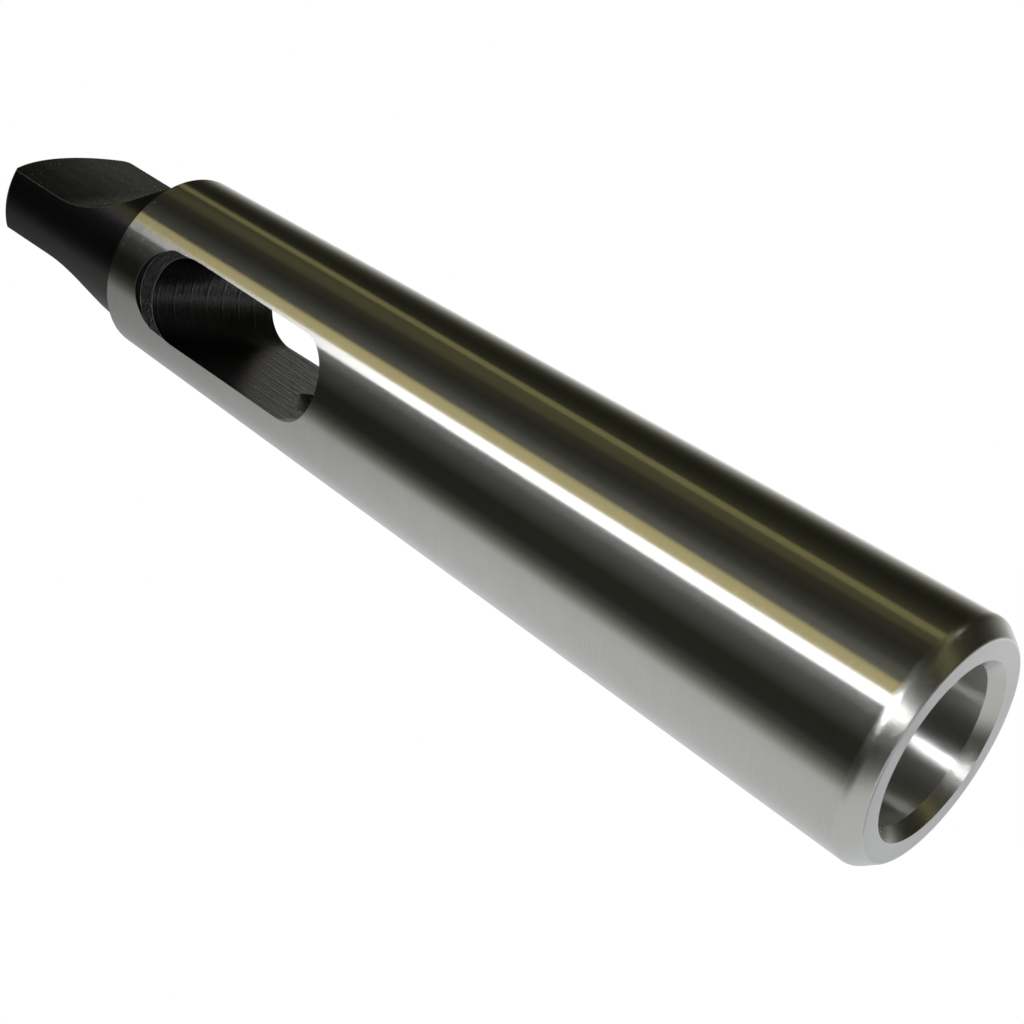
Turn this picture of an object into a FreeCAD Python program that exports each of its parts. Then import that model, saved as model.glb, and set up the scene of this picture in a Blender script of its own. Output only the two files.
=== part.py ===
import FreeCAD, Part
import math
import os

# Morse taper reduction sleeve: a No. 2 taper outside and a No. 1 socket inside, turned from one bar.
# The origin is the centre of the big-end face, and +Z runs along the axis to the tang.
# The drift slot goes through along Y. Lengths are in millimetres and angles in degrees.

# Whole sleeve
overall_length = 92.0
body_length = 75.5             # big-end face to the shoulder at the tang

# Outside taper, Morse No. 2
outer_gauge_diameter = 17.780
outer_gauge_height = 17.0      # big-end face to the gauge plane
outer_taper = 1 / 20.020       # loss of diameter over length

# Big-end rim
lead_height = 1.25             # turned lead from the taper down to the face
lead_width = 0.95
rim_radius = 0.30

# Socket, Morse No. 1
socket_gauge_diameter = 12.065
socket_taper = 1 / 20.047
mouth_diameter = 13.5          # countersink that protects the ground bore
mouth_depth = 0.95             # the socket's gauge plane lies at its foot
pilot_diameter = 9.7           # drilled before the taper was reamed
socket_depth = 56.0
bottom_cone_angle = 54.0       # cone that the boring bit leaves at the bottom

# Drift slot, rounded at both ends
slot_width = 7.0
slot_start = 51.2              # big-end face to the near end of the slot
slot_length = 19.5
starter_overrun = 1.4          # the first shallow pass runs this far past the slot
starter_depth = 0.7

# Tang
tang_diameter = 13.0
tang_thickness = 5.0
tang_turn = 8.5                # the flats are turned this far from the slot's sides
flat_cutter_radius = 9.8       # radius of the milling cutter that leaves the run-outs
shoulder_land = 0.8            # uncut round between the shoulder and the run-outs
tip_crown_radius = 12.5
tip_edge_radius = 0.9
shoulder_break = 0.25

centre = FreeCAD.Vector(0, 0, 0)
axis = FreeCAD.Vector(0, 0, 1)
clearance = 5.0                # how far each cutting shape reaches past the sleeve


def outer_radius(height):
    """Radius of the outside taper at a height above the big-end face."""
    return (outer_gauge_diameter - (height - outer_gauge_height) * outer_taper) / 2


def point(radius, height):
    """A point of a turned profile."""
    return FreeCAD.Vector(radius, 0, height)


def turned(edges):
    """Solid of revolution about the axis, from the edges of a closed profile."""
    face = Part.Face(Part.Wire(edges))
    return face.revolve(centre, axis, 360)


def polyline(points):
    """Straight edges that join the points in turn."""
    return [Part.makeLine(start, end) for start, end in zip(points, points[1:])]


def circle_edges(shape, radius, height):
    """Full circular edges of one radius at one height."""
    found = []
    for edge in shape.Edges:
        if edge.Degenerated or not isinstance(edge.Curve, Part.Circle):
            continue
        curve = edge.Curve
        if abs(curve.Radius - radius) < 0.001 and abs(curve.Center.z - height) < 0.001:
            found.append(edge)
    return found


def make_crown():
    """Edges of the tip's profile, from the side of the tang over its rounded corner to the axis."""
    tang_radius = tang_diameter / 2
    crown_centre = overall_length - tip_crown_radius
    across = tang_radius - tip_edge_radius
    along = math.sqrt((tip_crown_radius - tip_edge_radius) ** 2 - across ** 2)
    corner_height = crown_centre + along
    lean = math.atan2(across, along)
    half_lean = lean / 2
    corner_lean = (lean + math.pi / 2) / 2
    side = point(tang_radius, corner_height)
    corner = point(
        across + tip_edge_radius * math.sin(corner_lean),
        corner_height + tip_edge_radius * math.cos(corner_lean),
    )
    edge = point(
        tip_crown_radius * math.sin(lean),
        crown_centre + tip_crown_radius * math.cos(lean),
    )
    crown = point(
        tip_crown_radius * math.sin(half_lean),
        crown_centre + tip_crown_radius * math.cos(half_lean),
    )
    tip = point(0, overall_length)
    return [Part.Arc(side, corner, edge).toShape(), Part.Arc(edge, crown, tip).toShape()]


def make_blank():
    """Turned outside: rim lead, long taper, shoulder, round tang and crowned tip."""
    face_radius = outer_radius(lead_height) - lead_width
    shoulder_radius = outer_radius(body_length)
    crown = make_crown()
    side = polyline([
        point(0, 0),
        point(face_radius, 0),
        point(outer_radius(lead_height), lead_height),
        point(outer_radius(body_length - shoulder_break), body_length - shoulder_break),
        point(shoulder_radius - shoulder_break, body_length),
        point(tang_diameter / 2, body_length),
        crown[0].firstVertex().Point,
    ])
    blank = turned(side + crown + [Part.makeLine(point(0, overall_length), centre)])
    return blank.makeFillet(rim_radius, circle_edges(blank, face_radius, 0))


def make_socket():
    """Space inside: countersunk mouth, reamed taper, pilot drilling and the cone at its bottom."""
    mouth_slope = (mouth_diameter - socket_gauge_diameter) / 2 / mouth_depth
    mouth_rise = mouth_slope * clearance
    pilot_height = mouth_depth + (socket_gauge_diameter - pilot_diameter) / socket_taper
    cone_length = pilot_diameter / 2 / math.tan(math.radians(bottom_cone_angle / 2))
    return turned(polyline([
        point(0, -clearance),
        point(mouth_diameter / 2 + mouth_rise, -clearance),
        point(socket_gauge_diameter / 2, mouth_depth),
        point(pilot_diameter / 2, pilot_height),
        point(pilot_diameter / 2, socket_depth),
        point(0, socket_depth + cone_length),
        point(0, -clearance),
    ]))


def slot_cutter(start, end, near, far):
    """Round-ended prism along Y, from one height to another and from near to far."""
    radius = slot_width / 2
    low = start + radius
    high = end - radius
    outline = Part.Wire([
        Part.makeLine(FreeCAD.Vector(-radius, near, low), FreeCAD.Vector(-radius, near, high)),
        Part.Arc(
            FreeCAD.Vector(-radius, near, high),
            FreeCAD.Vector(0, near, end),
            FreeCAD.Vector(radius, near, high),
        ).toShape(),
        Part.makeLine(FreeCAD.Vector(radius, near, high), FreeCAD.Vector(radius, near, low)),
        Part.Arc(
            FreeCAD.Vector(radius, near, low),
            FreeCAD.Vector(0, near, start),
            FreeCAD.Vector(-radius, near, low),
        ).toShape(),
    ])
    return Part.Face(outline).extrude(FreeCAD.Vector(0, far - near, 0))


def make_slot():
    """Through slot, with the shallow starter pass past its tang end on both sides."""
    reach = outer_radius(0) + clearance
    slot_end = slot_start + slot_length
    starter_end = slot_end + starter_overrun
    starter_floor = outer_radius(starter_end) - starter_depth
    through = slot_cutter(slot_start, slot_end, -reach, reach)
    front = slot_cutter(slot_start + slot_width, starter_end, -reach, -starter_floor)
    back = slot_cutter(slot_start + slot_width, starter_end, starter_floor, reach)
    return through.multiFuse([front, back])


def make_flat_cutter():
    """Space milled off one side of the tang, with the run-out that the round cutter leaves."""
    half = tang_thickness / 2
    depth = tang_diameter / 2 - half
    run_out = math.sqrt(flat_cutter_radius ** 2 - (flat_cutter_radius - depth) ** 2)
    flat_start = body_length + shoulder_land + run_out
    outer = half + flat_cutter_radius
    top = overall_length + clearance
    reach = outer_radius(0) + clearance
    low_corner = FreeCAD.Vector(half, -reach, flat_start)
    arc_angle = math.radians(45)
    arc_middle = FreeCAD.Vector(
        half + flat_cutter_radius * (1 - math.cos(arc_angle)),
        -reach,
        flat_start - flat_cutter_radius * math.sin(arc_angle),
    )
    arc_end = FreeCAD.Vector(outer, -reach, flat_start - flat_cutter_radius)
    outline = Part.Wire([
        Part.makeLine(FreeCAD.Vector(half, -reach, top), low_corner),
        Part.Arc(low_corner, arc_middle, arc_end).toShape(),
        Part.makeLine(arc_end, FreeCAD.Vector(outer, -reach, top)),
        Part.makeLine(FreeCAD.Vector(outer, -reach, top), FreeCAD.Vector(half, -reach, top)),
    ])
    return Part.Face(outline).extrude(FreeCAD.Vector(0, 2 * reach, 0))


def make_tang_flats():
    """Both flats, a half turn apart and turned from the slot's sides."""
    first = make_flat_cutter()
    first.rotate(centre, axis, -tang_turn)
    second = first.copy()
    second.rotate(centre, axis, 180)
    return [first, second]


def make_sleeve():
    """The finished sleeve, in one piece."""
    sleeve = make_blank().cut(make_socket())
    sleeve = sleeve.cut(make_slot())
    for flat in make_tang_flats():
        sleeve = sleeve.cut(flat)
    return sleeve.removeSplitter()


os.makedirs("parts", exist_ok=True)
sleeve = make_sleeve()
sleeve.exportStep("parts/sleeve.step")
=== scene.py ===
import math

import bmesh
import bpy
from mathutils import Matrix, Vector


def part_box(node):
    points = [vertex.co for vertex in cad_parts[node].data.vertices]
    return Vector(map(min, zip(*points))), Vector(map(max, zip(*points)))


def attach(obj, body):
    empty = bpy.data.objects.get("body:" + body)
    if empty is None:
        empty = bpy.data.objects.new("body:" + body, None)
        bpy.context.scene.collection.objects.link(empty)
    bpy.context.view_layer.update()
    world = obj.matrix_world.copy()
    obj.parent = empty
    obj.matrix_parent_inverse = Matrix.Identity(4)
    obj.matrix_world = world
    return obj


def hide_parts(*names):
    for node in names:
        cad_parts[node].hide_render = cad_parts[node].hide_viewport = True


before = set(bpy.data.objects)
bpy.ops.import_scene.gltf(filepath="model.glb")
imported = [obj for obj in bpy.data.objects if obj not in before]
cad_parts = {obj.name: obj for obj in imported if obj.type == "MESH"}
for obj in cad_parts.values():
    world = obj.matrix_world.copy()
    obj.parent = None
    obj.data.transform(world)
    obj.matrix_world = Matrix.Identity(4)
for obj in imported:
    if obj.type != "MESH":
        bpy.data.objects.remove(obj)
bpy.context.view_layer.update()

MM = 0.001
low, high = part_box("sleeve")

# ---------------------------------------------------------------- sizes, in millimetres

LENGTH = (high[2] - low[2]) / MM
BODY = 75.5
GAUGE_RADIUS, GAUGE_HEIGHT, OUTER_SLOPE = 8.890, 17.0, 1 / 20.020 / 2
LEAD_HEIGHT, LEAD_WIDTH, RIM = 1.25, 0.95, 0.30
LEAD_ROUND = 1.0
BORE_RADIUS, BORE_SLOPE = 12.065 / 2, 1 / 20.047 / 2
MOUTH_RADIUS, MOUTH_DEPTH = 6.75, 0.95
PILOT_RADIUS, SOCKET_DEPTH, CONE_ANGLE = 4.85, 56.0, 54.0
SLOT_RADIUS, SLOT_START, SLOT_END = 3.5, 51.2, 70.7
STARTER_END, STARTER_DEPTH = 72.1, 0.7
TANG_RADIUS, TANG_HALF, TANG_TURN = 6.5, 2.5, 8.5
CUTTER_RADIUS, LAND = 9.8, 0.8
CROWN_RADIUS, TIP_EDGE, BREAK = 12.5, 0.9, 0.25
ROUND, SLOT_STEPS, RUN_OUT_STEPS = 480, 64, 72  # faces round the axis, a slot end and a run-out
OVERRUN = 15  # how far a cutter reaches to each side of the axis
SOCKET_OVERRUN, TIP_OVERRUN = 3, 5  # how far a cutter starts outside the part
TOUCH = 0.03  # how close a face lies to the surface it belongs to
HARD_EDGE = math.radians(14)
DOUBLES = 1e-7  # points closer than this, in metres, are one


def outer_radius(height):
    """Radius of the outside taper."""
    return GAUGE_RADIUS - (height - GAUGE_HEIGHT) * OUTER_SLOPE


# ---------------------------------------------------------------- mesh

def new_object(name, verts, faces):
    mesh = bpy.data.meshes.new(name)
    mesh.from_pydata([(x * MM, y * MM, z * MM) for x, y, z in verts], [], faces)
    obj = bpy.data.objects.new(name, mesh)
    bpy.context.collection.objects.link(obj)
    return obj


def revolve(name, profile, steps):
    """Solid from (radius, height) points that start and end on the axis."""
    verts, faces, rings = [], [], []
    for radius, height in profile:
        if radius == 0:
            rings.append([len(verts)])
            verts.append((0, 0, height))
            continue
        rings.append(list(range(len(verts), len(verts) + steps)))
        for i in range(steps):
            a = 2 * math.pi * (i + 0.5) / steps
            verts.append((radius * math.cos(a), radius * math.sin(a), height))
    for lower, upper in zip(rings, rings[1:]):
        for i in range(steps):
            j = (i + 1) % steps
            if len(lower) == 1:
                faces.append((lower[0], upper[i], upper[j]))
            elif len(upper) == 1:
                faces.append((lower[i], upper[0], lower[j]))
            else:
                faces.append((lower[i], upper[i], upper[j], lower[j]))
    obj = new_object(name, verts, faces)
    tidy_normals(obj.data)
    return obj


def tidy_normals(mesh):
    work = bmesh.new()
    work.from_mesh(mesh)
    bmesh.ops.recalc_face_normals(work, faces=work.faces)
    work.to_mesh(mesh)
    work.free()


def prism(name, outline, start, end, place):
    """Solid from a closed outline of (u, w) points, drawn from start to end.

    place turns (u, along, w) to x, y, z.
    """
    count = len(outline)
    verts = [place(u, start, w) for u, w in outline] + [place(u, end, w) for u, w in outline]
    faces = [tuple(range(count)), tuple(range(2 * count - 1, count - 1, -1))]
    for i in range(count):
        j = (i + 1) % count
        faces.append((i, i + count, j + count, j))
    obj = new_object(name, verts, faces)
    tidy_normals(obj.data)
    return obj


def arc(centre, radius, start, end, steps):
    """Points of an arc in a plane, by angle in degrees."""
    points = []
    for i in range(steps + 1):
        a = math.radians(start + (end - start) * i / steps)
        points.append((centre[0] + radius * math.cos(a), centre[1] + radius * math.sin(a)))
    return points


def rounded_corner(before, corner, after, radius, steps=10):
    """Points of the arc that rounds a corner of a profile."""
    back = (Vector(before) - Vector(corner)).normalized()
    ahead = (Vector(after) - Vector(corner)).normalized()
    half = back.angle(ahead) / 2
    start = Vector(corner) + back * radius / math.tan(half)
    centre = Vector(corner) + (back + ahead).normalized() * radius / math.sin(half)
    spoke = start - centre
    sweep = (math.pi - 2 * half) * (1 if back.x * ahead.y - back.y * ahead.x < 0 else -1)
    points = []
    for i in range(steps + 1):
        a = sweep * i / steps
        points.append((centre.x + spoke.x * math.cos(a) - spoke.y * math.sin(a),
                       centre.y + spoke.x * math.sin(a) + spoke.y * math.cos(a)))
    return points


def blank_profile():
    """Outside of the sleeve, from the centre of the big end to the tip."""
    lead_top = (outer_radius(LEAD_HEIGHT), LEAD_HEIGHT)
    lead_foot = (lead_top[0] - LEAD_WIDTH, 0)
    body_top = (outer_radius(BODY - BREAK), BODY - BREAK)
    rim = rounded_corner((0, 0), lead_foot, lead_top, RIM)
    shoulder = rounded_corner(lead_foot, lead_top, body_top, LEAD_ROUND)
    start = shoulder[-1][1]
    heights = [start + (BODY - BREAK - start) * i / 12 for i in range(1, 13)]
    body = shoulder + [(outer_radius(h), h) for h in heights]
    crown_centre = LENGTH - CROWN_RADIUS
    across = TANG_RADIUS - TIP_EDGE
    along = math.sqrt((CROWN_RADIUS - TIP_EDGE) ** 2 - across ** 2)
    lean = math.degrees(math.atan2(across, along))
    edge = arc((across, crown_centre + along), TIP_EDGE, 0, 90 - lean, 10)
    crown = arc((0, crown_centre), CROWN_RADIUS, 90 - lean, 90, 14)
    crown[-1] = (0, LENGTH)
    tang_middle = (BODY + crown_centre + along) / 2
    top = [(outer_radius(BODY) - BREAK, BODY), (TANG_RADIUS, BODY), (TANG_RADIUS, tang_middle)]
    return [(0, 0)] + rim + body + top + edge + crown[1:]


def socket_profile():
    """Countersink, taper, pilot bore and coned bottom."""
    slope = (MOUTH_RADIUS - BORE_RADIUS) / MOUTH_DEPTH
    pilot_height = MOUTH_DEPTH + (BORE_RADIUS - PILOT_RADIUS) / BORE_SLOPE
    cone = PILOT_RADIUS / math.tan(math.radians(CONE_ANGLE / 2))
    heights = [MOUTH_DEPTH + (pilot_height - MOUTH_DEPTH) * i / 8 for i in range(9)]
    taper = [(BORE_RADIUS - (h - MOUTH_DEPTH) * BORE_SLOPE, h) for h in heights]
    mouth = [(0, -SOCKET_OVERRUN), (MOUTH_RADIUS + SOCKET_OVERRUN * slope, -SOCKET_OVERRUN)]
    return mouth + taper + [(PILOT_RADIUS, SOCKET_DEPTH), (0, SOCKET_DEPTH + cone)]


def stadium(start, end):
    """Slot outline with round ends."""
    r = SLOT_RADIUS
    return arc((0, start + r), r, -180, 0, SLOT_STEPS) + arc((0, end - r), r, 0, 180, SLOT_STEPS)


def slot_cutters():
    """The slot right through, and the shallow start of its cut on both sides."""
    floor = outer_radius(STARTER_END) - STARTER_DEPTH
    along_y = lambda u, t, w: (u, t, w)
    shallow = stadium(SLOT_START + 2 * SLOT_RADIUS, STARTER_END)
    return [
        prism("slot_cut", stadium(SLOT_START, SLOT_END), -OVERRUN, OVERRUN, along_y),
        prism("starter_front", shallow, -OVERRUN, -floor, along_y),
        prism("starter_back", shallow, floor, OVERRUN, along_y),
    ]


def flat_cutter(name, turn):
    """Takes one flat off the tang and runs out in the arc of the cutter."""
    depth = TANG_RADIUS - TANG_HALF
    run_out = math.sqrt(CUTTER_RADIUS ** 2 - (CUTTER_RADIUS - depth) ** 2)
    start = BODY + LAND + run_out
    c, s = math.cos(math.radians(turn)), math.sin(math.radians(turn))
    place = lambda u, t, w: (u * c - t * s, u * s + t * c, w)
    curve = arc((TANG_HALF + CUTTER_RADIUS, start), CUTTER_RADIUS, 180, 270, RUN_OUT_STEPS)
    top = LENGTH + TIP_OVERRUN
    outline = curve + [(TANG_HALF + CUTTER_RADIUS, top), (TANG_HALF, top)]
    return prism(name, outline, -OVERRUN, OVERRUN, place)


def make_sleeve():
    """The turned blank less its socket, slot and flats."""
    body = revolve("sleeve_detail", blank_profile(), ROUND)
    cutters = [revolve("socket_cut", socket_profile(), ROUND)] + slot_cutters()
    cutters += [flat_cutter("flat_one", -TANG_TURN), flat_cutter("flat_two", 180 - TANG_TURN)]
    for cutter in cutters:
        cut = body.modifiers.new(cutter.name, "BOOLEAN")
        cut.operation = "DIFFERENCE"
        cut.solver = "MANIFOLD"
        cut.object = cutter
    graph = bpy.context.evaluated_depsgraph_get()
    mesh = bpy.data.meshes.new_from_object(body.evaluated_get(graph))
    mesh.materials.clear()
    body.modifiers.clear()
    body.data = mesh
    for cutter in cutters:
        bpy.data.objects.remove(cutter)
    return body


# Finishes, in the order of the sleeve's material slots.
GROUND, TURNED, FACED, REAMED, OXIDE, MILLED, SLOTTED, SHELF = range(8)
TIP_START = 89.6  # height above which the rounded tip begins
LEVEL, UPRIGHT = 0.98, 0.05  # upward part of the normal of a level and of an upright face
INWARD, OUTWARD, ACROSS = -0.9, 0.95, 0.9  # part of the normal along the radius, and along y
END, EDGE = 0.001, 0.01  # how far faces of the big end and of an edge may be from it
LEAD_INSIDE = MOUTH_RADIUS + 0.5  # the lead lies outside this radius


def tang_kind(z, r, normal):
    """Milled flats and run-outs, and turned metal elsewhere."""
    shoulder = normal.z > LEVEL and z < BODY + BREAK
    side = abs(r - TANG_RADIUS) < TOUCH and abs(normal.z) < UPRIGHT
    tip = z > TIP_START and normal.z > UPRIGHT
    return OXIDE if shoulder or side or tip else MILLED


def face_kind(centre, normal):
    """Which finish a face has."""
    x, y, z = centre / MM
    r = math.hypot(x, y)
    radial = Vector((x, y, 0)).normalized().dot(normal)
    on_lead = z < LEAD_HEIGHT + LEAD_ROUND / 2 and r > LEAD_INSIDE
    if on_lead or (z < MOUTH_DEPTH and r > BORE_RADIUS + EDGE):
        return FACED if z < END else TURNED
    inside = max(BORE_RADIUS - (z - MOUTH_DEPTH) * BORE_SLOPE, PILOT_RADIUS)
    if radial < INWARD and z < SOCKET_DEPTH and r < inside + TOUCH:
        return REAMED
    if radial > OUTWARD and abs(r - outer_radius(z)) < TOUCH and z < BODY - BREAK:
        return GROUND
    if z > BODY - EDGE:
        return tang_kind(z, r, normal)
    if z > BODY - BREAK:
        return GROUND
    return SHELF if z > SLOT_END - SLOT_RADIUS and abs(normal.y) > ACROSS else SLOTTED


def finish_faces(mesh):
    """Merge doubled points, give each face its finish, and keep hard edges hard."""
    work = bmesh.new()
    work.from_mesh(mesh)
    bmesh.ops.remove_doubles(work, verts=work.verts, dist=DOUBLES)
    for face in work.faces:
        face.smooth = True
        face.material_index = face_kind(face.calc_center_median(), face.normal)
    for edge in work.edges:
        if len(edge.link_faces) == 2:
            edge.smooth = edge.calc_face_angle() < HARD_EDGE
    work.to_mesh(mesh)
    work.free()


sleeve = make_sleeve()
finish_faces(sleeve.data)

# ---------------------------------------------------------------- node helper

class Nodes:
    """A short way to build a node tree."""

    def __init__(self, tree):
        self.tree = tree

    def add(self, kind, **settings):
        node = self.tree.nodes.new(kind)
        for name, value in settings.items():
            setattr(node, name, value)
        return node

    def link(self, source, target):
        self.tree.links.new(source, target)

    def put(self, value, socket):
        if isinstance(value, bpy.types.NodeSocket):
            self.link(value, socket)
        else:
            socket.default_value = value

    def math(self, operation, *values, clamp=False):
        node = self.add("ShaderNodeMath", operation=operation, use_clamp=clamp)
        for index, value in enumerate(values):
            self.put(value, node.inputs[index])
        return node.outputs[0]

    def smooth(self, value, start, end):
        """0 below start and 1 above end."""
        node = self.add("ShaderNodeMapRange", interpolation_type="SMOOTHSTEP")
        self.put(value, node.inputs["Value"])
        node.inputs["From Min"].default_value = start
        node.inputs["From Max"].default_value = end
        return node.outputs[0]

    def ramp(self, factor, stops):
        node = self.add("ShaderNodeValToRGB")
        self.put(factor, node.inputs[0])
        elements = node.color_ramp.elements
        while len(elements) < len(stops):
            elements.new(0.5)
        for element, (place, colour) in zip(elements, stops):
            element.position = place
            element.color = (*colour, 1)
        return node.outputs[0]


def grey(value):
    return (value, value, value)


def material(name, colour, metallic, roughness, anisotropic):
    mat = bpy.data.materials.new(name)
    mat.use_nodes = True
    shader = mat.node_tree.nodes["Principled BSDF"]
    shader.inputs["Metallic"].default_value = metallic
    shader.inputs["Base Color"].default_value = (*colour, 1)
    shader.inputs["Roughness"].default_value = roughness
    shader.inputs["Anisotropic"].default_value = anisotropic
    shader.inputs["Anisotropic Rotation"].default_value = 0.25
    return mat, Nodes(mat.node_tree), shader


# ---------------------------------------------------------------- materials

def around(tree, shader):
    """Marks that run round the axis."""
    tangent = tree.add("ShaderNodeTangent", direction_type="RADIAL", axis="Z")
    tree.link(tangent.outputs[0], shader.inputs["Tangent"])


def coordinates(tree):
    """Object coordinates in millimetres, and their parts."""
    coords = tree.add("ShaderNodeTexCoord")
    scale = tree.add("ShaderNodeVectorMath", operation="SCALE")
    tree.link(coords.outputs["Object"], scale.inputs[0])
    scale.inputs["Scale"].default_value = 1 / MM
    parts = tree.add("ShaderNodeSeparateXYZ")
    tree.link(scale.outputs[0], parts.inputs[0])
    return scale.outputs[0], parts.outputs["X"], parts.outputs["Y"], parts.outputs["Z"]


def stretched(tree, x, y, z, scales):
    """A vector of x, y and z times their scales."""
    join = tree.add("ShaderNodeCombineXYZ")
    for socket, value, scale in zip(join.inputs, (x, y, z), scales):
        tree.link(tree.math("MULTIPLY", value, scale), socket)
    return join.outputs[0]


def noise(tree, vector, scale, detail=3.0, roughness=0.55):
    node = tree.add("ShaderNodeTexNoise")
    tree.link(vector, node.inputs["Vector"])
    node.inputs["Scale"].default_value = scale
    node.inputs["Detail"].default_value = detail
    node.inputs["Roughness"].default_value = roughness
    return node.outputs["Fac"]


def rounded(tree, radius):
    """Normal with softly broken edges."""
    bevel = tree.add("ShaderNodeBevel", samples=6)
    bevel.inputs["Radius"].default_value = radius * MM
    return bevel.outputs[0]


def bump(tree, shader, height, distance, normal=None):
    node = tree.add("ShaderNodeBump")
    node.inputs["Distance"].default_value = distance * MM
    tree.link(height, node.inputs["Height"])
    if normal is not None:
        tree.link(normal, node.inputs["Normal"])
    tree.link(node.outputs[0], shader.inputs["Normal"])


# Scales of x, y and z that draw a noise out into lines round the axis.
GRIND_LINES, REAM_LINES = (0.35, 0.35, 9), (0.3, 0.3, 8)
FACING_PITCH = 0.12  # of the rings on the big end
PASS_DEPTH = 3.6  # of the slot cutter's steps


def ring_lines(tree, scales):
    """Fine lines round the axis."""
    vector, x, y, z = coordinates(tree)
    return noise(tree, stretched(tree, x, y, z, scales), 1.0, 4.0, 0.7)


def ground_steel():
    """Outside taper."""
    mat, tree, shader = material("ground_taper", (0.62, 0.62, 0.61), 1.0, 0.15, 0.85)
    around(tree, shader)
    lines = ring_lines(tree, GRIND_LINES)
    cloud = noise(tree, coordinates(tree)[0], 0.35, 3.0)
    tone = tree.math("MULTIPLY_ADD", lines, 0.10, tree.math("MULTIPLY_ADD", cloud, 0.06, 0.54))
    join = tree.add("ShaderNodeCombineColor")
    for socket, share in zip(join.inputs, (1.0, 1.0, 0.985)):
        tree.link(tree.math("MULTIPLY", tone, share), socket)
    tree.link(join.outputs[0], shader.inputs["Base Color"])
    tree.link(tree.math("MULTIPLY_ADD", lines, 0.10, 0.10), shader.inputs["Roughness"])
    bump(tree, shader, lines, 0.0012)
    return mat


def turned_steel():
    """Lead and countersink."""
    mat, tree, shader = material("turned_lead", (0.66, 0.66, 0.655), 1.0, 0.27, 0.5)
    around(tree, shader)
    bump(tree, shader, ring_lines(tree, GRIND_LINES), 0.0006)
    return mat


def faced_steel():
    """Big end, with the rings that facing leaves."""
    mat, tree, shader = material("faced_end", (0.58, 0.58, 0.585), 1.0, 0.34, 0.3)
    around(tree, shader)
    vector, x, y, z = coordinates(tree)
    radius = tree.math("SQRT", tree.math("ADD", tree.math("MULTIPLY", x, x), tree.math("MULTIPLY", y, y)))
    rings = tree.math("SINE", tree.math("MULTIPLY", radius, 2 * math.pi / FACING_PITCH))
    grain = noise(tree, vector, 6.0, 3.0)
    height = tree.math("MULTIPLY_ADD", grain, 0.8, tree.math("MULTIPLY", rings, 0.25))
    bump(tree, shader, height, 0.003)
    return mat


def reamed_steel():
    """Bore of the socket."""
    mat, tree, shader = material("reamed_bore", (0.62, 0.62, 0.61), 1.0, 0.36, 1.0)
    around(tree, shader)
    bump(tree, shader, ring_lines(tree, REAM_LINES), 0.002, rounded(tree, 0.08))
    return mat


# The second colour is both the colour of oxide worn through at edges and the painted light on the flats and
# slot walls.
OXIDE_BLACK, OXIDE_WORN_AND_LIT = (0.002, 0.002, 0.0024), (0.13, 0.13, 0.125)
OXIDE_IOR = 1.6
WEAR_RADIUS = 0.10  # how far wear reaches in from an edge


def oxide(name, roughness, depth, texture, painted_light=None):
    """Black oxide, worn thin along the edges, and paler where the last argument paints light on it.

    texture gives the height of the metal under it.
    """
    mat, tree, shader = material(name, OXIDE_BLACK, 0.0, roughness, 0.0)
    shader.inputs["IOR"].default_value = OXIDE_IOR
    vector, x, y, z = coordinates(tree)
    grain = noise(tree, vector, 3.5, 4.0, 0.65)
    soft = rounded(tree, WEAR_RADIUS)
    facing = tree.add("ShaderNodeVectorMath", operation="DOT_PRODUCT")
    tree.link(soft, facing.inputs[0])
    tree.link(tree.add("ShaderNodeNewGeometry").outputs["Normal"], facing.inputs[1])
    edge = tree.smooth(tree.math("SUBTRACT", 1.0, facing.outputs["Value"]), 0.01, 0.12)
    wear_and_light = tree.math("MULTIPLY", edge, tree.smooth(grain, 0.25, 0.5))
    if painted_light is not None:
        # Painted light from the last argument is laid over the edge wear, in the same paler colour.
        wear_and_light = tree.math("MAXIMUM", wear_and_light, painted_light(tree, vector, x, y, z))
    tree.link(tree.ramp(wear_and_light, [(0.0, OXIDE_BLACK), (1.0, OXIDE_WORN_AND_LIT)]), shader.inputs["Base Color"])
    tree.link(tree.math("MULTIPLY_ADD", grain, 0.20, roughness - 0.10), shader.inputs["Roughness"])
    bump(tree, shader, texture(tree, vector, x, y, z, grain), depth, soft)
    return mat


def black_oxide():
    """Round of the tang and its tip."""
    return oxide("black_oxide", 0.18, 0.006, lambda tree, vector, x, y, z, grain: grain)


def milled_oxide():
    """The cutter ran along the tang and left fine lines on its flats, which carry painted light that turns
    them paler towards +y.
    """
    def texture(tree, vector, x, y, z, grain):
        lines = noise(tree, stretched(tree, x, y, z, (2.5, 2.5, 0.25)), 1.0, 3.0, 0.6)
        return tree.math("ADD", lines, grain)

    # Painted light: the flats turn paler towards +y, with a cloudy boundary.
    def painted_light(tree, vector, x, y, z):
        cloud = noise(tree, stretched(tree, x, y, z, (1.2, 1.2, 0.3)), 1.0, 3.0, 0.6)
        side = tree.smooth(tree.math("MULTIPLY_ADD", cloud, 5.0, y), -4.0, 9.0)
        return tree.math("MULTIPLY", side, 0.30)
    return oxide("milled_oxide", 0.26, 0.012, texture, painted_light)


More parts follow.
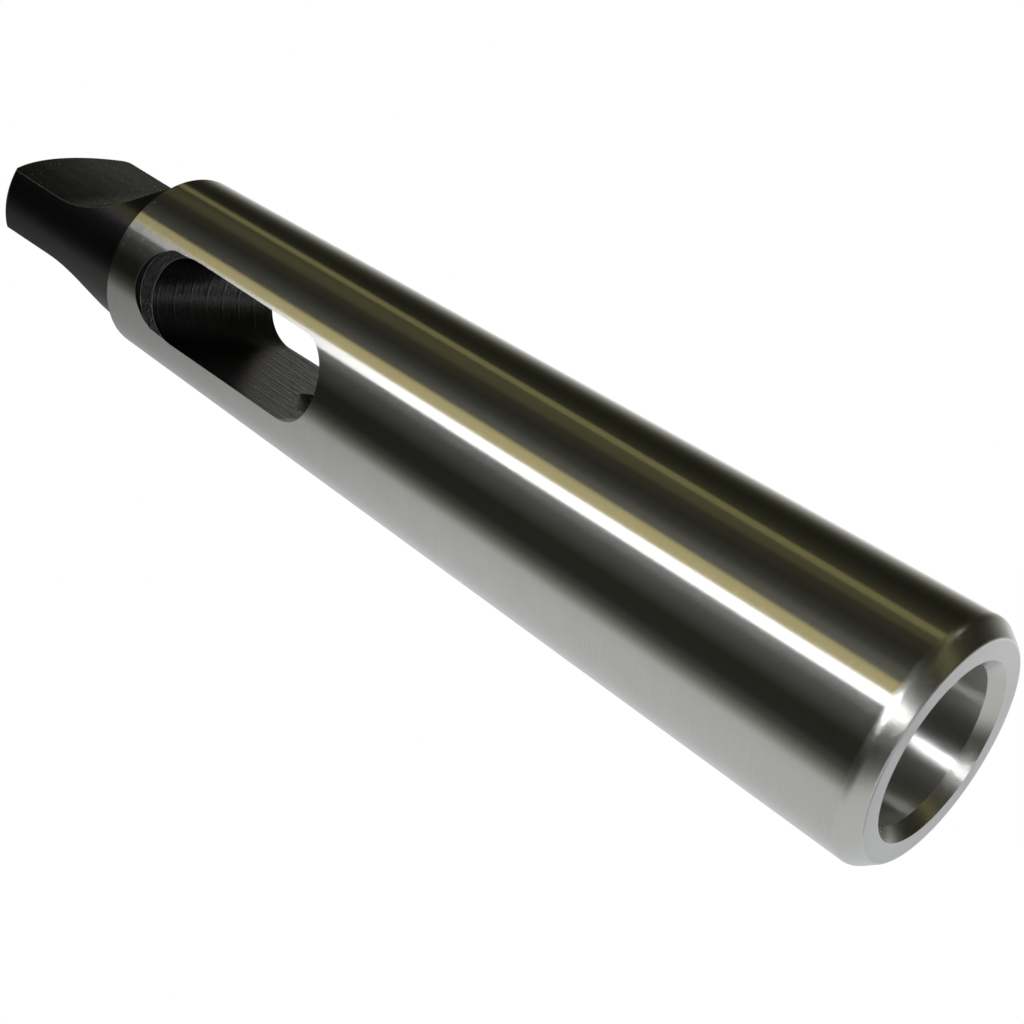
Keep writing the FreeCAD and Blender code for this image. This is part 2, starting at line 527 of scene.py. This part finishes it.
def slotted_oxide():
    """The cutter went down along y in steps; painted light falls in pale streaks on the walls by the socket,
    up to a slanting shadow edge.
    """
    def streak_noise(tree, x, y, z):
        return noise(tree, stretched(tree, x, y, z, (0.6, 3.6, 0.6)), 1.0, 5.0, 0.7)

    def texture(tree, vector, x, y, z, grain):
        passes = tree.math("SINE", tree.math("MULTIPLY", y, 2 * math.pi / PASS_DEPTH))
        ribs = tree.math("POWER", tree.math("ABSOLUTE", passes), 40)
        return tree.math("ADD", tree.math("MULTIPLY_ADD", ribs, 0.4, streak_noise(tree, x, y, z)), grain)

    # Painted light: pale streaks on the walls by the socket, lit up to a painted shadow edge that slants
    # across z - 0.8 y from 59 to 63 mm.
    def painted_light(tree, vector, x, y, z):
        lit_streaks = tree.smooth(streak_noise(tree, x, y, z), 0.42, 0.68)
        slant = tree.math("MULTIPLY_ADD", y, -0.8, z)
        reach = tree.math("SUBTRACT", 1.0, tree.smooth(slant, 59.0, 63.0))
        return tree.math("MULTIPLY", tree.math("MULTIPLY", lit_streaks, reach), 0.55)
    return oxide("slotted_oxide", 0.17, 0.026, texture, painted_light)


def shelf_oxide():
    """Left rough where the cutter first went in."""
    def texture(tree, vector, x, y, z, grain):
        return tree.math("ADD", noise(tree, vector, 2.6, 3.0, 0.6), grain)
    return oxide("shelf_oxide", 0.16, 0.22, texture)


for make in (ground_steel, turned_steel, faced_steel, reamed_steel,
             black_oxide, milled_oxide, slotted_oxide, shelf_oxide):
    sleeve.data.materials.append(make())
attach(sleeve, "root")
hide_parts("sleeve")

# ---------------------------------------------------------------- surround

# Azimuth in degrees anticlockwise from +X, and the colour of the walls there.
WALLS = [
    (0, (0.080, 0.072, 0.038)), (12, (0.090, 0.086, 0.044)), (20, (0.050, 0.047, 0.025)),
    (32, (0.025, 0.024, 0.016)), (45, (0.015, 0.016, 0.010)), (57, (0.028, 0.028, 0.018)),
    (65, (0.07, 0.07, 0.05)), (73, (0.22, 0.21, 0.18)), (82, (0.41, 0.41, 0.38)),
    (92, (0.82, 0.82, 0.80)), (101, grey(1.0)), (120, (0.66, 0.67, 0.68)), (135, (0.66, 0.68, 0.68)),
    (160, (0.61, 0.62, 0.61)), (200, (0.60, 0.60, 0.58)), (216, (0.57, 0.57, 0.55)),
    (226, (0.24, 0.24, 0.21)), (235, (0.08, 0.08, 0.07)), (245, (0.026, 0.027, 0.022)),
    (262, (0.026, 0.026, 0.02)), (284, (0.11, 0.11, 0.10)),
    (291, (0.24, 0.24, 0.24)), (300, grey(0.20)), (308, (0.20, 0.19, 0.16)), (326, (0.12, 0.12, 0.10)),
    (333, (0.055, 0.055, 0.045)), (345, (0.028, 0.027, 0.021)), (353, (0.040, 0.037, 0.024)),
]
# How much of the walls' light is lost high up, by azimuth.
FADES = [(100, grey(0)), (115, grey(1)), (325, grey(1)), (335, grey(0))]
# First and last elevation in degrees, and the share lost above: where FADES says, and all round.
WALL_FADE, CEILING_FADE = (32, 54, 0.75), (46, 56, 0.85)
RADIUS = 2.0  # of the walls, in metres
CARD_RADIUS = 0.9 * RADIUS

# Cards in front of the walls: colour, then rows of elevation, first and last azimuth, in degrees.
WHITE_STRIP = (2.2, 2.2, 2.15), [(-70, 296, 306.5), (42.5, 296, 306.5)]
TAN_CARD = (0.56, 0.49, 0.24), [(-4, 306.5, 307), (18, 306.5, 317), (30, 306.5, 320), (50, 306.5, 320)]
OLIVE_EDGE = (0.21, 0.195, 0.085), [(-65, 8, 16), (20, 8, 16), (50, 25, 33)]
LOW_STRIP = (40.0, 40.0, 40.0), [(-40, 293, 306), (-12, 293, 306)]
LOW_LINE = (0.6, 0.6, 0.55), [(-18, 21, 27), (-2, 21, 27)]
LOW_SHADE = (0.01, 0.01, 0.01), [(-58, 88, 134), (-31, 88, 134)]


def stage_only(obj):
    """A card that only shows in reflections."""
    obj.visible_camera = False
    obj.visible_diffuse = False
    obj.visible_shadow = False
    obj.visible_transmission = False


def emitter(name, colour, strength):
    """Material that shines evenly, left out of direct light sampling."""
    mat = bpy.data.materials.new(name)
    mat.use_nodes = True
    mat.node_tree.nodes.clear()
    tree = Nodes(mat.node_tree)
    mat.cycles.emission_sampling = "NONE"
    emission = tree.add("ShaderNodeEmission")
    tree.put(colour, emission.inputs["Color"])
    emission.inputs["Strength"].default_value = strength
    output = tree.add("ShaderNodeOutputMaterial")
    tree.link(emission.outputs[0], output.inputs["Surface"])
    return mat, tree, emission


def lost(tree, rise, first, last, share):
    """Light lost between two elevations, where rise is the sine of the elevation."""
    high = tree.smooth(rise, math.sin(math.radians(first)), math.sin(math.radians(last)))
    return tree.math("MULTIPLY", high, share)


def surround():
    """Studio walls all round the sleeve."""
    mesh = bpy.data.meshes.new("surround")
    work = bmesh.new()
    bmesh.ops.create_uvsphere(work, u_segments=128, v_segments=64, radius=RADIUS)
    work.to_mesh(mesh)
    work.free()
    obj = bpy.data.objects.new("surround", mesh)
    bpy.context.collection.objects.link(obj)
    mat, tree, emission = emitter("surround_walls", (1, 1, 1, 1), 1.0)
    coords = tree.add("ShaderNodeTexCoord")
    parts = tree.add("ShaderNodeSeparateXYZ")
    tree.link(coords.outputs["Object"], parts.inputs[0])
    angle = tree.math("ARCTAN2", parts.outputs["Y"], parts.outputs["X"])
    turn = tree.math("FRACT", tree.math("ADD", tree.math("DIVIDE", angle, 2 * math.pi), 1.0))
    rise = tree.math("DIVIDE", parts.outputs["Z"], RADIUS)
    walls = tree.ramp(turn, [(a / 360, c) for a, c in WALLS])
    fades = tree.ramp(turn, [(a / 360, c) for a, c in FADES])
    dark = tree.math("MULTIPLY", lost(tree, rise, *WALL_FADE), fades)
    dark = tree.math("MAXIMUM", dark, lost(tree, rise, *CEILING_FADE))
    tree.link(walls, emission.inputs["Color"])
    tree.link(tree.math("SUBTRACT", 1.0, dark), emission.inputs["Strength"])
    mesh.materials.append(mat)
    stage_only(obj)


def card(name, colour, rows, steps=12):
    """Curved card between the azimuths in its rows."""
    verts, faces = [], []
    for low_row, high_row in zip(rows, rows[1:]):
        for i in range(steps):
            corners = []
            for j, k in ((0, 0), (1, 0), (1, 1), (0, 1)):
                share = (i + k) / steps
                elevation, first, last = (a + (b - a) * share for a, b in zip(low_row, high_row))
                e, a = math.radians(elevation), math.radians(last if j else first)
                corners.append((math.cos(e) * math.cos(a), math.cos(e) * math.sin(a), math.sin(e)))
            faces.append(tuple(range(len(verts), len(verts) + 4)))
            verts += [tuple(CARD_RADIUS * c for c in corner) for corner in corners]
    mesh = bpy.data.meshes.new(name)
    mesh.from_pydata(verts, [], faces)
    obj = bpy.data.objects.new(name, mesh)
    bpy.context.collection.objects.link(obj)
    mesh.materials.append(emitter(name + "_light", (*colour, 1), 1.0)[0])
    stage_only(obj)


surround()
for name, (colour, rows) in (("white_strip", WHITE_STRIP), ("tan_card", TAN_CARD), ("olive_edge", OLIVE_EDGE),
                             ("low_strip", LOW_STRIP), ("low_line", LOW_LINE), ("low_shade", LOW_SHADE)):
    card(name, colour, rows)

# ---------------------------------------------------------------- floor, world and lamp

# In metres.
FLOOR_RADIUS, FLOOR_FADE = 0.6, (0.12, 0.45)
FLOOR_GAP = 0.02 * MM
LIGHT_LEVEL = 0.85  # of the white world, on everything but what is seen or mirrored
LAMP_PLACE, LAMP_SIZE, LAMP_WATTS = (-0.25, -0.30, 0.55), 0.35, 0.9


def make_floor():
    """Pale round table top, seen only from above, that fades into the white background."""
    mesh = bpy.data.meshes.new("floor")
    work = bmesh.new()
    bmesh.ops.create_circle(work, cap_ends=True, segments=96, radius=FLOOR_RADIUS)
    work.to_mesh(mesh)
    work.free()
    obj = bpy.data.objects.new("floor", mesh)
    obj.location.z = low[2] - FLOOR_GAP
    bpy.context.collection.objects.link(obj)
    mat = bpy.data.materials.new("pale_floor")
    mat.use_nodes = True
    tree = Nodes(mat.node_tree)
    shader = mat.node_tree.nodes["Principled BSDF"]
    shader.inputs["Base Color"].default_value = (0.86, 0.86, 0.86, 1)
    shader.inputs["Roughness"].default_value = 0.9
    coords = tree.add("ShaderNodeTexCoord")
    reach = tree.add("ShaderNodeVectorMath", operation="LENGTH")
    tree.link(coords.outputs["Object"], reach.inputs[0])
    fade = tree.smooth(reach.outputs["Value"], *FLOOR_FADE)
    under = tree.add("ShaderNodeNewGeometry").outputs["Backfacing"]
    clear = tree.math("MAXIMUM", fade, under)
    through = tree.add("ShaderNodeBsdfTransparent")
    mix = tree.add("ShaderNodeMixShader")
    tree.link(clear, mix.inputs[0])
    tree.link(shader.outputs[0], mix.inputs[1])
    tree.link(through.outputs[0], mix.inputs[2])
    tree.link(mix.outputs[0], mat.node_tree.nodes["Material Output"].inputs["Surface"])
    mesh.materials.append(mat)
    obj.visible_glossy = False


def make_world():
    """White to the eye and in reflections, and a soft plain light everywhere else."""
    world = bpy.data.worlds.new("studio")
    bpy.context.scene.world = world
    world.use_nodes = True
    tree = Nodes(world.node_tree)
    background = world.node_tree.nodes["Background"]
    background.inputs["Color"].default_value = (1, 1, 1, 1)
    rays = tree.add("ShaderNodeLightPath").outputs
    mirrored = tree.math("MAXIMUM", rays["Is Glossy Ray"], rays["Is Transmission Ray"])
    seen = tree.math("MAXIMUM", rays["Is Camera Ray"], mirrored)
    strength = tree.math("MULTIPLY_ADD", seen, 1 - LIGHT_LEVEL, LIGHT_LEVEL)
    tree.link(strength, background.inputs["Strength"])


def make_lamp():
    """Large soft lamp above the near side."""
    data = bpy.data.lights.new("soft_lamp", "AREA")
    data.shape = "DISK"
    data.size = LAMP_SIZE
    data.energy = LAMP_WATTS
    lamp = bpy.data.objects.new("soft_lamp", data)
    lamp.location = LAMP_PLACE
    lamp.rotation_euler = (-lamp.location).to_track_quat("-Z", "Y").to_euler()
    lamp.visible_glossy = False
    bpy.context.collection.objects.link(lamp)


make_floor()
make_world()
make_lamp()

# ---------------------------------------------------------------- camera

# Where it stands, and the directions of the picture's right and down.
CAMERA = Vector((45.858, -123.723, -42.137)) * MM
RIGHT = Vector((0.35319, 0.59686, -0.72043))
DOWN = Vector((-0.88209, -0.04414, -0.46902))
FORWARD = RIGHT.cross(DOWN)
SENSOR, FOCAL = 36, 75.02

camera_data = bpy.data.cameras.new("camera")
camera = bpy.data.objects.new("camera", camera_data)
bpy.context.collection.objects.link(camera)
camera_data.sensor_width = SENSOR
camera_data.lens = FOCAL
camera_data.clip_start = 0.001
camera_data.clip_end = 20
rotation = Matrix((RIGHT, -DOWN, -FORWARD)).transposed()
camera.matrix_world = Matrix.Translation(CAMERA) @ rotation.to_4x4()
bpy.context.scene.camera = camera
bpy.context.scene.view_settings.view_transform = "Standard"
